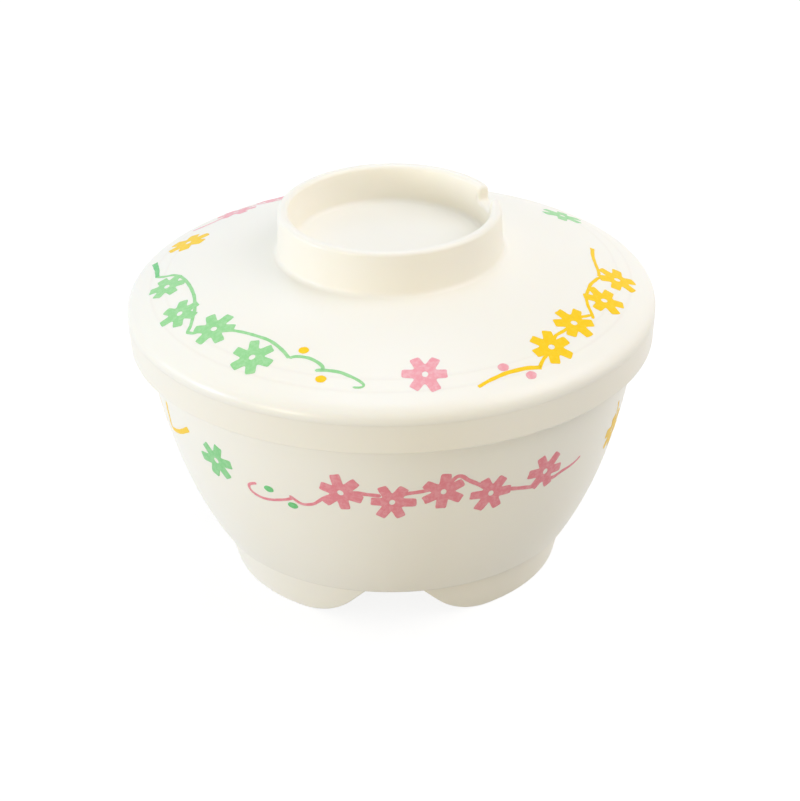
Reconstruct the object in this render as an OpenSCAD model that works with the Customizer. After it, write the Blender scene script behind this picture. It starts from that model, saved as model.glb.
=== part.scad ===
// Insulated bowl with its lid. The origin is on the table, under the middle of the foot, and +Z is up.
// The front is towards -Y, where one of the arches in the foot is.

/* [Bowl] */
// Height of the bowl from the table to the top of its rim
bowl_h = 71; // [64:1:84]
// Diameter over the lip at the rim
lip_d = 134; // [120:1:150]
// Height of the lip's outer face
lip_h = 3.4; // [3:0.1:5]
// Width of the lip from its outer face to the inside of the bowl
lip_w = 5.3; // [5.1:0.1:6]
// Overhang of the lip over the wall under it
lip_overhang = 0.8; // [0.6:0.1:1.2]
// Rounding on both edges of the lip
lip_round = 1.2; // [0.6:0.1:1.4]
// Thickness of the outer shell
shell_t = 2; // [1.6:0.1:2.2]
// Thickness of the inner liner
liner_t = 1.8; // [1.4:0.1:2]
// Thickness of the insulation under the bowl's floor
floor_foam = 5.6; // [4.5:0.1:9]
// How far the insulation sets the liner in from a straight wall
side_foam = 1.5; // [1.2:0.1:4]
// Diameter of the bowl's flat floor
flat_floor_d = 50; // [30:1:60]

/* [Foot] */
// Height of the foot from the table to the bowl's lower edge
foot_h = 11; // [8:0.5:13]
// Diameter of the bowl's lower edge, where the foot starts
base_d = 96.2; // [92:0.2:104]
// How far the foot draws in from its top to the table, on the radius
foot_draw = 2.8; // [2:0.1:5]
// Thickness of the foot's wall
foot_t = 3.4; // [3:0.1:4.5]
// Step from the bowl's lower edge in to the foot
foot_inset = 1.4; // [0.1:0.1:2]
// Number of arches cut through the foot
arch_count = 3; // [2:1:4]
// Width of each arch at the bowl's lower edge
arch_top_w = 14.6; // [10:0.2:20]
// Slope of an arch's sides, from level
arch_slope = 47; // [40:1:60]
// Radius of the foot's toes, which run out level at the table
toe_r = 16.5; // [10:0.5:18]

/* [Lid] */
// Clearance between the skirt's lower end and the lip inside it
skirt_gap = 0.6; // [0.4:0.1:2]
// Thickness of the skirt
skirt_t = 1.9; // [1.7:0.1:2.5]
// How far the skirt hangs below the bowl's rim
skirt_drop = 7.4; // [4:0.2:9]
// Taper of the skirt, on the radius
skirt_taper = 0.5; // [0.2:0.1:0.8]
// Height of the seam between cover and liner above the bowl's rim
seam_rise = 1; // [0.6:0.1:1.4]
// Height of the shoulder's lower end above the bowl's rim
shoulder_rise = 1.5; // [1.5:0.1:3]
// Size of the rounded shoulder
shoulder_r = 5.3; // [4.5:0.1:6.5]
// Rise of the dome from the bowl's rim to the foot of the grip ring
dome_rise = 16.8; // [15.5:0.1:20]
// How far the dome bulges over a straight cone
dome_bulge = 1.5; // [0.5:0.1:2.5]
// Thickness of the cover
cover_t = 2; // [1.6:0.1:2.2]
// Thickness of the lid's liner
lid_liner_t = 1.8; // [1.4:0.1:2]
// Thickness of the insulation in the middle of the lid
lid_foam = 5.5; // [4.5:0.1:6.5]

/* [Grip ring] */
// Outer diameter of the grip ring at its top
ring_d = 58.8; // [52:0.2:64]
// Extra radius of the ring at its lower end
ring_draft = 0.4; // [0.1:0.1:0.8]
// Height of the ring above the dome
ring_h = 12; // [9:0.5:15]
// Thickness of the ring's wall at its top
ring_t = 2.8; // [2.6:0.1:3.6]
// Extra thickness of the ring's wall at its floor
ring_inner_draft = 1; // [0.2:0.1:1.6]
// Height of the ring's floor above the dome beside it
ring_floor_rise = 2.1; // [1.6:0.1:3]
// Rounding on both edges of the ring's top
ring_round = 1.2; // [0.6:0.1:1.3]
// Fillet where the ring meets the dome
ring_fillet = 1.5; // [0.5:0.1:2.5]
// Width of the drain notch in the ring
notch_w = 8.6; // [6:0.2:12]
// Depth of the drain notch
notch_depth = 4.3; // [2:0.1:6]
// Where the notch is, turned from the front towards the right
notch_angle = 108; // [0:1:360]

/* [Fits] */
// Height of the ring under the lid that centres it in the bowl
centring_drop = 3.8; // [2:0.1:5]
// Thickness of that ring
centring_t = 1.8; // [1.4:0.1:2.4]
// Clearance between that ring and the inside of the bowl
centring_gap = 0.6; // [0.4:0.1:1]
// Clearance in the welded tongues and at the plugs
weld_gap = 0.1; // [0.05:0.05:0.2]
// Gap between the insulation and the walls around it
foam_gap = 0.2; // [0.1:0.05:0.3]
// Diameter of the holes through which the insulation is filled
fill_d = 14; // [10:0.5:16]
// Diameter of the plugs' heads
plug_d = 20; // [18:0.5:22]

/* [Hidden] */
$fn = 128;
overrun = 1;
curve_steps = 28;
round_steps = 6;
ivory = [0.965, 0.945, 0.895];
liner_ivory = [0.955, 0.935, 0.88];
foam_white = [0.98, 0.93, 0.78];

// Radii of the bowl, from the rim down
lip_r = lip_d / 2;
wall_top_r = lip_r - lip_overhang;
bowl_inner_r = lip_r - lip_w;
base_r = base_d / 2;
lip_z = bowl_h - lip_h;
floor_z = foot_h + shell_t + floor_foam + liner_t;

// The wall's outline: how far each end of the curve runs straight, and how far it leans there
wall_h = lip_z - foot_h;
upper_run_share = 0.3;
upper_lean_share = 0.18;
lower_run_share = 0.32;
lower_lean_share = 0.634;

// The welded joint: a tongue on one piece stands in a groove or against a wall of the other
tongue_t = 1;
tongue_h = 1.2;
tongue_r = wall_top_r - shell_t / 2;

// The inside of the bowl: a straight land for the lid, then a curve that ends level on the floor
land_h = 6;
flat_floor_r = flat_floor_d / 2;
knee_rise_share = 0.574;
heel_share = 1.081;
liner_knee_z = floor_z + knee_rise_share * (bowl_h - land_h - floor_z);
straight_knee_r = base_r + (wall_top_r - base_r) * (liner_knee_z - foot_h) / wall_h;
liner_knee_r = straight_knee_r - shell_t - side_foam - liner_t;
liner_heel_r = heel_share * base_r;
foam_drop = 10;
foam_top_z = bowl_h - foam_drop;

// The foot
foot_top_r = base_r - foot_inset;
foot_r = foot_top_r - foot_draw;
foot_outer_round = 0.6;
foot_inner_round = 0.8;

// The lid, all from the bowl's rim
skirt_r = lip_r + skirt_gap + skirt_t;
lid_r = skirt_r + skirt_taper;
skirt_round = 0.8;
seam_z = bowl_h + seam_rise;
seam_bevel = 0.2;
shoulder_z = bowl_h + shoulder_rise;
shoulder_top = [lid_r - shoulder_r, shoulder_z + shoulder_r];
shoulder_pull_share = 0.55;
ring_r = ring_d / 2;
ring_base_r = ring_r + ring_draft;
ring_base_z = bowl_h + dome_rise;
ring_top_z = ring_base_z + ring_h;
ring_floor_z = ring_base_z + ring_floor_rise;
ring_inner_r = ring_r - ring_t;
ring_floor_r = ring_inner_r - ring_inner_draft;
floor_fillet = 1.5;

// The lid's liner: seat, centring ring and ceiling
flange_z = bowl_h + lid_liner_t;
centring_r = bowl_inner_r - centring_gap;
centring_inner_r = centring_r - centring_t;
centring_z = bowl_h - centring_drop;
centring_round = 0.7;
ceiling_z = ring_floor_z - cover_t - lid_foam - lid_liner_t;
ceiling_flat_r = 13;
ceiling_near_share = 0.69;
ceiling_far_share = 0.35;
ceiling_rise_share = 0.56;
lid_tongue_gap = 0.4;
lid_tongue_r = lid_r - cover_t - lid_tongue_gap;
lid_tongue_t = 1.4;
lid_tongue_h = 1.4;
lid_tongue_z = seam_z + lid_tongue_h;

// The plugs
plug_head_t = 1;
boss_wall = 3;
boss_h = 2.6;
plug_bevel = 0.3;

// Functions for outlines. Every point is [radius, height].
function mix(a, b, share) = a + (b - a) * share;
function bezier(p, t) = let (u = 1 - t)
    u * u * u * p[0] + 3 * u * u * t * p[1] + 3 * u * t * t * p[2] + t * t * t * p[3];
function curve(p) = [for (i = [0:curve_steps]) bezier(p, i / curve_steps)];
function arc(centre, radius, from, to) =
    [for (i = [0:round_steps]) let (a = mix(from, to, i / round_steps)) centre + radius * [cos(a), sin(a)]];
function reversed(path) = [for (i = [len(path) - 1:-1:0]) path[i]];
function heading(path, i) = let (d = path[min(i + 1, len(path) - 1)] - path[max(i - 1, 0)]) d / norm(d);
// The same path, moved to its left by a distance
function beside(path, distance) =
    [for (i = [0:len(path) - 1]) let (h = heading(path, i)) path[i] + distance * [-h[1], h[0]]];
function higher_than(path, z) = [for (p = path) if (p[1] > z) p];
function lower_than(path, z) = [for (p = path) if (p[1] < z) p];
function nearer_than(path, r) = [for (p = path) if (p[0] < r) p];
function last(path) = path[len(path) - 1];

// The bowl's wall from its top to its lower edge, seen from outside
wall_path = curve([
    [wall_top_r, lip_z],
    [wall_top_r, lip_z] - upper_run_share * wall_h * [upper_lean_share, 1],
    [base_r, foot_h] + lower_run_share * wall_h * [lower_lean_share, 1],
    [base_r, foot_h]]);
// The inside of the bowl from the land down to the flat floor
liner_path = curve([
    [bowl_inner_r, bowl_h - land_h],
    [liner_knee_r, liner_knee_z],
    [liner_heel_r, floor_z],
    [flat_floor_r, floor_z]]);
// The lid's top from the shoulder's lower end to the grip ring
dome_chord = [ring_base_r, ring_base_z] - shoulder_top;
dome_out = [dome_chord[1], -dome_chord[0]] / norm(dome_chord);
dome_crest = shoulder_top + dome_chord / 2 + 2 * dome_bulge * dome_out;
dome_start = (dome_crest - shoulder_top) / norm(dome_crest - shoulder_top);
shoulder_path = curve([
    [lid_r, shoulder_z],
    [lid_r, shoulder_z + shoulder_pull_share * shoulder_r],
    shoulder_top - shoulder_pull_share * shoulder_r * dome_start,
    shoulder_top]);
dome_path = curve([
    shoulder_top,
    mix(shoulder_top, dome_crest, 2 / 3),
    mix([ring_base_r, ring_base_z], dome_crest, 2 / 3),
    [ring_base_r, ring_base_z]]);
lid_path = concat(shoulder_path, [for (i = [1:curve_steps]) dome_path[i]]);
// The fillet at the ring's foot touches the dome, which leans by this angle there
dome_lean = atan2(ring_base_z - dome_crest[1], dome_crest[0] - ring_base_r);
fillet_r = ring_base_r + ring_fillet;
fillet_touch = [fillet_r - ring_fillet * sin(dome_lean),
                ring_base_z - (fillet_r - ring_fillet * sin(dome_lean) - ring_base_r) * tan(dome_lean)];
fillet_centre = fillet_touch + ring_fillet * [sin(dome_lean), cos(dome_lean)];
// The ceiling under the lid from the centring ring to the flat in the middle
ceiling_path = curve([
    [centring_inner_r, flange_z],
    [mix(ceiling_flat_r, centring_inner_r, ceiling_near_share), mix(flange_z, ceiling_z, ceiling_rise_share)],
    [mix(ceiling_flat_r, centring_inner_r, ceiling_far_share), ceiling_z],
    [ceiling_flat_r, ceiling_z]]);

module turned(outline) rotate_extrude() polygon(outline);

module disc(d, h, z) translate([0, 0, z]) cylinder(d = d, h = h);

// A boss around a filling hole. It stands up from height z.
module boss(z) disc(fill_d + 2 * boss_wall, boss_h, z);

// The hole with the recess for the plug's head. Its mouth is at height z and faces down.
module fill_hole(z, depth) {
    disc(fill_d, depth + 2 * overrun, z - overrun);
    disc(plug_d, plug_head_t + overrun, z - overrun);
}

module plug(z, depth) {
    head_r = plug_d / 2 - weld_gap;
    stem_r = fill_d / 2 - weld_gap;
    translate([0, 0, z])
        turned([
            [0, 0], [head_r - plug_bevel, 0], [head_r, plug_bevel], [head_r, plug_head_t - weld_gap],
            [stem_r, plug_head_t - weld_gap], [stem_r, depth - plug_bevel], [stem_r - plug_bevel, depth],
            [0, depth]]);
}

module foot_ring() {
    turned(concat(
        [[foot_top_r - foot_t, foot_h + shell_t / 2], [foot_r - foot_t, foot_inner_round]],
        arc([foot_r - foot_t + foot_inner_round, foot_inner_round], foot_inner_round, 180, 270),
        arc([foot_r - foot_outer_round, foot_outer_round], foot_outer_round, -90, -15),
        [[foot_top_r, foot_h], [foot_top_r, foot_h + shell_t / 2]]));
}

// One arch, through the front of the foot. Its sides slope down and run out level as the toes of the feet.
module arch_cut() {
    toe_rise = toe_r * (1 - cos(arch_slope));
    knee_x = arch_top_w / 2 + (foot_h - toe_rise) / tan(arch_slope);
    toe_x = knee_x + toe_r * sin(arch_slope);
    side = concat(
        [[toe_x, -overrun]],
        [for (i = [0:curve_steps]) let (a = arch_slope * i / curve_steps)
            [toe_x - toe_r * sin(a), toe_r * (1 - cos(a))]],
        [[arch_top_w / 2 - shell_t / tan(arch_slope), foot_h + shell_t]]);
    rotate([90, 0, 0])
        linear_extrude(height = foot_top_r + overrun)
            polygon(concat(side, [for (p = reversed(side)) [-p[0], p[1]]]));
}

module bowl_outer_shell() {
    inside = lower_than(higher_than(beside(wall_path, -shell_t), foot_h + shell_t), lip_z - weld_gap);
    wall = concat(
        wall_path,
        [[0, foot_h], [0, foot_h + shell_t], [last(inside)[0] - shell_t, foot_h + shell_t]],
        reversed(inside),
        [[inside[0][0], lip_z - weld_gap], [tongue_r - tongue_t / 2, lip_z - weld_gap],
         [tongue_r - tongue_t / 2, lip_z + tongue_h], [tongue_r + tongue_t / 2, lip_z + tongue_h],
         [tongue_r + tongue_t / 2, lip_z - weld_gap]]);
    color(ivory)
        difference() {
            union() {
                turned(wall);
                difference() {
                    foot_ring();
                    for (i = [0:arch_count - 1]) rotate(i * 360 / arch_count) arch_cut();
                }
                boss(foot_h + shell_t / 2);
            }
            fill_hole(foot_h, shell_t + boss_h);
        }
}

module bowl_inner_liner() {
    groove_r = tongue_r - tongue_t / 2 - weld_gap;
    groove_end_r = tongue_r + tongue_t / 2 + weld_gap;
    outside = beside(liner_path, liner_t);
    color(liner_ivory)
        turned(concat(
            [[lip_r, lip_z], [lip_r, bowl_h - lip_round]],
            arc([lip_r - lip_round, bowl_h - lip_round], lip_round, 0, 90),
            arc([bowl_inner_r + lip_round, bowl_h - lip_round], lip_round, 90, 180),
            liner_path,
            [[0, floor_z], [0, floor_z - liner_t]],
            reversed(outside),
            [[bowl_inner_r + liner_t, lip_z], [groove_r, lip_z], [groove_r, lip_z + tongue_h + weld_gap],
             [groove_end_r, lip_z + tongue_h + weld_gap], [groove_end_r, lip_z]]));
}

module bowl_foam_core() {
    outside = higher_than(beside(wall_path, -shell_t - foam_gap), foot_h + shell_t + foam_gap);
    inside = beside(liner_path, liner_t + foam_gap);
    low = foot_h + shell_t + foam_gap;
    color(foam_white)
        difference() {
            turned(concat(
                lower_than(outside, foam_top_z),
                [[last(outside)[0] - shell_t, low], [0, low], [0, floor_z - liner_t - foam_gap]],
                lower_than(reversed(inside), foam_top_z)));
            disc(fill_d + 2 * (boss_wall + foam_gap), boss_h + foam_gap, foot_h + shell_t / 2);
        }
}

module bowl_base_plug() {
    color(ivory) plug(foot_h, shell_t / 2 + boss_h);
}

// The notch in the grip ring, with its lower corners and its upper edges rounded
module notch_cut() {
    edge = ring_round;
    corner = ring_round;
    half = notch_w / 2;
    bottom = ring_top_z - notch_depth;
    side = concat(
        [[half + edge, ring_top_z + overrun]],
        arc([half + edge, ring_top_z - edge], edge, 90, 180),
        arc([half - corner, bottom + corner], corner, 0, -90));
    rotate(notch_angle)
        translate([0, -ring_floor_r / 2, 0])
            rotate([90, 0, 0])
                linear_extrude(height = ring_r)
                    polygon(concat(side, [for (p = reversed(side)) [-p[0], p[1]]]));
}

module lid_cover() {
    ring_slope = atan2(ring_draft, ring_h);
    color(ivory)
        difference() {
            turned(concat(
                [[lid_r - cover_t, seam_z], [lid_r - seam_bevel, seam_z], [lid_r, seam_z + seam_bevel]],
                [for (p = lid_path) if (p[0] > fillet_r) p],
                arc(fillet_centre, ring_fillet, -90 - dome_lean, -180 + ring_slope),
                arc([ring_r - ring_round, ring_top_z - ring_round], ring_round, 0, 90),
                arc([ring_inner_r + ring_round, ring_top_z - ring_round], ring_round, 90, 180),
                arc([ring_floor_r - floor_fillet, ring_floor_z + floor_fillet], floor_fillet, 0, -90),
                [[0, ring_floor_z], [0, ring_floor_z - cover_t], [ring_floor_r, ring_floor_z - cover_t]],
                reversed(beside(lid_path, cover_t))));
            notch_cut();
        }
}

module lid_liner() {
    above = beside(ceiling_path, -lid_liner_t);
    skirt_low_z = bowl_h - skirt_drop + skirt_round;
    centring_low_z = centring_z + centring_round;
    color(liner_ivory)
        difference() {
            union() {
                turned(concat(
                    [[skirt_r + skirt_taper, seam_z - seam_bevel]],
                    arc([skirt_r - skirt_round, skirt_low_z], skirt_round, 0, -90),
                    arc([skirt_r - skirt_t + skirt_round, skirt_low_z], skirt_round, -90, -180),
                    [[lid_r - skirt_t, bowl_h], [centring_r, bowl_h]],
                    arc([centring_r - centring_round, centring_low_z], centring_round, 0, -90),
                    arc([centring_inner_r + centring_round, centring_low_z], centring_round, -90, -180),
                    ceiling_path,
                    [[0, ceiling_z], [0, ceiling_z + lid_liner_t]],
                    reversed(above),
                    [[centring_r + lid_liner_t, flange_z], [lid_tongue_r - lid_tongue_t, flange_z],
                     [lid_tongue_r - lid_tongue_t, lid_tongue_z], [lid_tongue_r, lid_tongue_z],
                     [lid_tongue_r, seam_z], [lid_r - seam_bevel, seam_z]]));
                boss(ceiling_z + lid_liner_t / 2);
            }
            fill_hole(ceiling_z, lid_liner_t + boss_h);
        }
}

module lid_foam_core() {
    edge_r = lid_tongue_r - lid_tongue_t - foam_gap;
    top = nearer_than(beside(lid_path, cover_t + foam_gap), edge_r);
    under = beside(ceiling_path, -lid_liner_t - foam_gap);
    floor_under_z = ring_floor_z - cover_t - foam_gap;
    color(foam_white)
        difference() {
            turned(concat(
                [[edge_r, flange_z + foam_gap], [edge_r, top[0][1]]],
                top,
                [[ring_floor_r - foam_gap, floor_under_z], [0, floor_under_z],
                 [0, ceiling_z + lid_liner_t + foam_gap]],
                reversed(under),
                [[centring_r + lid_liner_t, flange_z + foam_gap]]));
            disc(fill_d + 2 * (boss_wall + foam_gap), boss_h + foam_gap, ceiling_z + lid_liner_t / 2);
        }
}

module lid_plug() {
    color(ivory) plug(ceiling_z, lid_liner_t / 2 + boss_h);
}

bowl_outer_shell();
bowl_inner_liner();
bowl_foam_core();
bowl_base_plug();
lid_cover();
lid_liner();
lid_foam_core();
lid_plug();
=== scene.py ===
import math

import bpy
import numpy as np
from mathutils import Matrix


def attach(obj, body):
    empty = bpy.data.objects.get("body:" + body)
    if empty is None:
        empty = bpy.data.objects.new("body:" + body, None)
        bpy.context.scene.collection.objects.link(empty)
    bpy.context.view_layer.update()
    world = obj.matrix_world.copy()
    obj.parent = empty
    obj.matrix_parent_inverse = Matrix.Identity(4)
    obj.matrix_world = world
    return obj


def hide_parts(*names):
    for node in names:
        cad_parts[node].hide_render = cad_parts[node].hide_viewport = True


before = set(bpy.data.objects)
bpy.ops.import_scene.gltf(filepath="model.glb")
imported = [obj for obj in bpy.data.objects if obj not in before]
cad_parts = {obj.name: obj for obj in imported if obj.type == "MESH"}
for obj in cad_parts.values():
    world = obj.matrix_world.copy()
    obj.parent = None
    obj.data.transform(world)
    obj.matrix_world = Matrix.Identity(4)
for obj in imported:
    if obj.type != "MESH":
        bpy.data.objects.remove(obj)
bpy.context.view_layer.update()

# Sizes in millimetres, the same as in the model's source. Meshes are scaled to metres when they are made.
MM = 0.001
# How far the photograph's view is turned to the right of the bowl's front. The marks' places are given in it.
VIEW_TURN = math.radians(0.8)

# Bowl
LIP_R, LIP_Z, RIM_Z = 67.0, 67.6, 71.0
WALL_TOP_R, WALL_LOW_R = 66.2, 48.1
INNER_R, INNER_LOW_Z = 61.7, 65.0
SHELL_T, LINER_T = 2.0, 1.8
BASE_Z, BASE_TOP_Z = 11.0, 13.0
FLOOR_Z, FLOOR_R = 20.4, 25.0
WALL_CURVE = [(WALL_TOP_R, LIP_Z), (63.144, 50.62), (59.583, 29.112), (WALL_LOW_R, BASE_Z)]
LINER_CURVE = [(INNER_R, INNER_LOW_Z), (53.99, 46.0), (52.0, FLOOR_Z), (FLOOR_R, FLOOR_Z)]
FILL_R, PLUG_R, BOSS_R, BOSS_TOP_Z = 7.0, 10.0, 10.0, 14.6
PLUG_BEVEL, PLUG_DEPTH = 0.2, 1.0
TONGUE_IN_R, TONGUE_OUT_R, TONGUE_TOP_Z, WELD_GAP = 64.7, 65.7, 68.8, 0.1
RIM_ROUND, LIP_ROUND, BASE_ROUND, BASE_ROUND_IN = 1.2, 0.3, 0.3, 0.22
# Radii of the first rows round the axis
LINER_HUB_R, LID_HUB_R = 1.5, 1.2

# Foot
FOOT_TOP_R, FOOT_LOW_R, FOOT_INNER_LOW_R = 46.7, 43.76, 40.3
FOOT_OUTER_SLOPE, FOOT_INNER_SLOPE = (FOOT_TOP_R - FOOT_LOW_R) / BASE_Z, 0.25
FOOT_MIDDLE_R, FOOT_ROOT_Z = 43.0, 11.5
ARCH_HALF_W, ARCH_SLOPE, ARCH_TOP_Z, TOE_R = 6.6, math.radians(47), BASE_Z + 0.25, 18.1
FOOT_COUNT = 3
# Edge roundings at the arch, and what they grow by towards the toe
FOOT_OUTER_ROUND, FOOT_INNER_ROUND = (0.45, 0.15), (0.35, 0.45)

# Lid
LID_R, SKIRT_R, SKIRT_LOW_Z, SKIRT_T, SKIRT_ROUND = 70.0, 69.5, 63.6, 1.9, 0.8
SEAM_Z = 72.0
SHOULDER_CURVE = [(LID_R, 72.5), (LID_R, 75.415), (67.334, 76.551), (64.7, 77.8)]
COVER_T, LID_LINER_T = 2.0, 1.8
# Steps of the outline at the seam and on the skirt below it: how far in, and how far from the seam
SEAM_STEPS = ((0.0, 0.09), (0.01, 0.03), (0.04, 0.0))
SKIRT_STEPS = ((0.02, 0.4), (0.06, 1.0))
RING_BASE_R, RING_BASE_Z, RING_TOP_Z = 29.8, 87.8, 99.8
RING_OUTER_SLOPE, RING_OUTER_LEAN = -0.037, 2.1
RING_INNER_LOW_R, RING_INNER_LOW_Z, RING_INNER_SLOPE = 25.6, 91.4, 0.1389
RING_FLOOR_Z, RING_FILLET, RING_EDGE_ROUND = 89.9, 1.5, 1.18
DOME_CURVE = [(64.7, 77.8), (53.617, 83.056), (41.984, 86.389), (RING_BASE_R, RING_BASE_Z)]
DOME_LEAN = 6.6
NOTCH_ANGLE, NOTCH_HALF_W, NOTCH_Z, NOTCH_ROUND, NOTCH_EDGE_ROUND = math.radians(108), 4.3, 95.5, 1.2, 0.85
# The ring's columns follow the notch up to this far from its middle, taken at this radius, above this height
NOTCH_END_X, NOTCH_MIDDLE_R, NOTCH_BASE_Z = 10.7, 28.0, 91.8
# Heights of the ring's outer rows between that one and the fillet
RING_LOW_ROWS = (90.6, 89.9)
# How far under the ring's top its edges' rounding goes over into the notch's
NOTCH_BLEND_H = 1.5
CENTRING_R, CENTRING_INNER_R, CENTRING_Z, CENTRING_ROUND = 61.1, 59.3, 67.2, 0.7
FLANGE_Z, CEILING_Z, CEILING_FLAT_R, LID_BOSS_TOP_Z = RIM_Z + LID_LINER_T, 80.6, 13.0, 84.1
CEILING_CURVE = [(CENTRING_INNER_R, FLANGE_Z), (44.947, 77.168), (29.205, CEILING_Z),
                 (CEILING_FLAT_R, CEILING_Z)]
LID_TONGUE_IN_R, LID_TONGUE_OUT_R, LID_TONGUE_TOP_Z = 66.2, 67.6, 73.4


# Outlines, as points of radius and height. Points close to a corner keep its shading tight, so these are the
# steps from an edge or a corner to the next point beside it.

EDGE_STEP, CORNER_STEP, INNER_STEP, CURVE_STEP, FLAT_STEP, FILLET_STEP = 0.6, 0.4, 0.3, 0.25, 0.1, 0.02
LEVEL_STEP, WALL_END_STEP = 1.0, 0.15
# Points nearer than this are one point
SAME_POINT = 0.01


def bezier(points, steps):
    p = np.array(points, float)
    t = np.linspace(0, 1, steps + 1)[:, None]
    return (1 - t) ** 3 * p[0] + 3 * (1 - t) ** 2 * t * p[1] + 3 * (1 - t) * t ** 2 * p[2] + t ** 3 * p[3]


def arc(centre, radius, start, end, steps=8):
    a = np.radians(np.linspace(start, end, steps + 1))
    return np.column_stack([centre[0] + radius * np.cos(a), centre[1] + radius * np.sin(a)])


def line(a, b, steps):
    return np.linspace(a, b, steps + 1)


def chain(*parts):
    """One outline of all the parts, without doubled points."""
    points = np.vstack([np.atleast_2d(np.array(p, float)) for p in parts])
    keep = [0]
    for i in range(1, len(points)):
        if np.hypot(*(points[i] - points[keep[-1]])) > SAME_POINT:
            keep.append(i)
    return points[keep]


def beside(path, distance):
    """The path moved to its left."""
    d = np.gradient(path, axis=0)
    d /= np.linalg.norm(d, axis=1)[:, None]
    return path + distance * np.column_stack([-d[:, 1], d[:, 0]])


def lengths(path):
    """How far along the path each of its points lies."""
    return np.concatenate([[0], np.cumsum(np.linalg.norm(np.diff(path, axis=0), axis=1))])


def filling_hole(under_z, boss_top_z, boss_low_z):
    """The plug's seat in an underside, the hole over it, and the boss round the hole."""
    return [(PLUG_R, under_z + PLUG_BEVEL), (PLUG_R, under_z + PLUG_DEPTH), (FILL_R, under_z + PLUG_DEPTH),
            (FILL_R, boss_top_z), (BOSS_R, boss_top_z), (BOSS_R, boss_low_z)]


def smooth(t):
    t = np.clip(t, 0, 1)
    return t * t * (3 - 2 * t)


# Meshes

def add_object(name, data):
    obj = bpy.data.objects.new(name, data)
    bpy.context.scene.collection.objects.link(obj)
    return obj


def add_mesh(name, points, faces, body, material, replaces=None):
    """A closed mesh from points in millimetres, shaded smooth with normals that favour the large faces."""
    points = np.array(points, float) * MM
    mesh = bpy.data.meshes.new(name)
    mesh.from_pydata(points.tolist(), [], [tuple(map(int, f)) for f in faces])
    mesh.update()
    count, corners = len(mesh.polygons), len(mesh.loops)
    area, facing = np.zeros(count), np.zeros(count * 3)
    first, total, vertex = np.zeros(count, int), np.zeros(count, int), np.zeros(corners, int)
    mesh.polygons.foreach_get("area", area)
    mesh.polygons.foreach_get("normal", facing)
    mesh.polygons.foreach_get("loop_start", first)
    mesh.polygons.foreach_get("loop_total", total)
    mesh.loops.foreach_get("vertex_index", vertex)
    weighted = facing.reshape(-1, 3) * area[:, None]
    normals = np.zeros_like(points)
    np.add.at(normals, vertex, np.repeat(weighted, total, axis=0))
    if np.sum(points[vertex[first]] * weighted) < 0:
        mesh.flip_normals()
        normals = -normals
    length = np.linalg.norm(normals, axis=1)
    length[length == 0] = 1
    mesh.polygons.foreach_set("use_smooth", [True] * count)
    mesh.normals_split_custom_set_from_vertices((normals / length[:, None]).tolist())
    mesh.materials.append(material)
    obj = add_object(name, mesh)
    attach(obj, body)
    if replaces:
        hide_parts(replaces)


def turned(rz, angles):
    """Points at their radius and height, each at its column's angle from the front."""
    r, z, a = np.broadcast_arrays(rz[..., 0], rz[..., 1], angles)
    return np.stack([r * np.sin(a), -r * np.cos(a), z], axis=-1)


def add_grid(name, grid, ends, body, material, replaces):
    """A piece from rows of points round the axis.

    Ends are the heights where it closes on the axis, or None where its last row joins its first.
    """
    rows, cols = grid.shape[:2]
    points, faces = list(grid.reshape(-1, 3)), []
    for i in range(rows - 1 if ends else rows):
        a, b = i * cols, (i + 1) % rows * cols
        for j in range(cols):
            k = (j + 1) % cols
            faces.append((a + j, a + k, b + k, b + j))
    if ends:
        start, end, last_row = len(points), len(points) + 1, (rows - 1) * cols
        points += [(0, 0, z) for z in ends]
        for j in range(cols):
            k = (j + 1) % cols
            faces += [(start, k, j), (end, last_row + j, last_row + k)]
    add_mesh(name, points, faces, body, material, replaces)


def lathe(name, outline, body, material, replaces, columns):
    """A turned piece. Its outline is a closed loop, or runs from the axis back to the axis."""
    ends = None
    if outline[0][0] == 0:
        ends = outline[0][1], outline[-1][1]
        outline = outline[1:-1]
    angles = np.linspace(0, 2 * math.pi, columns, endpoint=False)
    grid = turned(outline[:, None, :], angles)
    add_grid(name, grid, ends, body, material, replaces)


# Materials. Noise scales are in waves per metre, and bump depths in metres.

def srgb(r, g, b):
    out = []
    for c in (r, g, b):
        c /= 255
        out.append(c / 12.92 if c <= 0.04045 else ((c + 0.055) / 1.055) ** 2.4)
    return (*out, 1.0)


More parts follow.
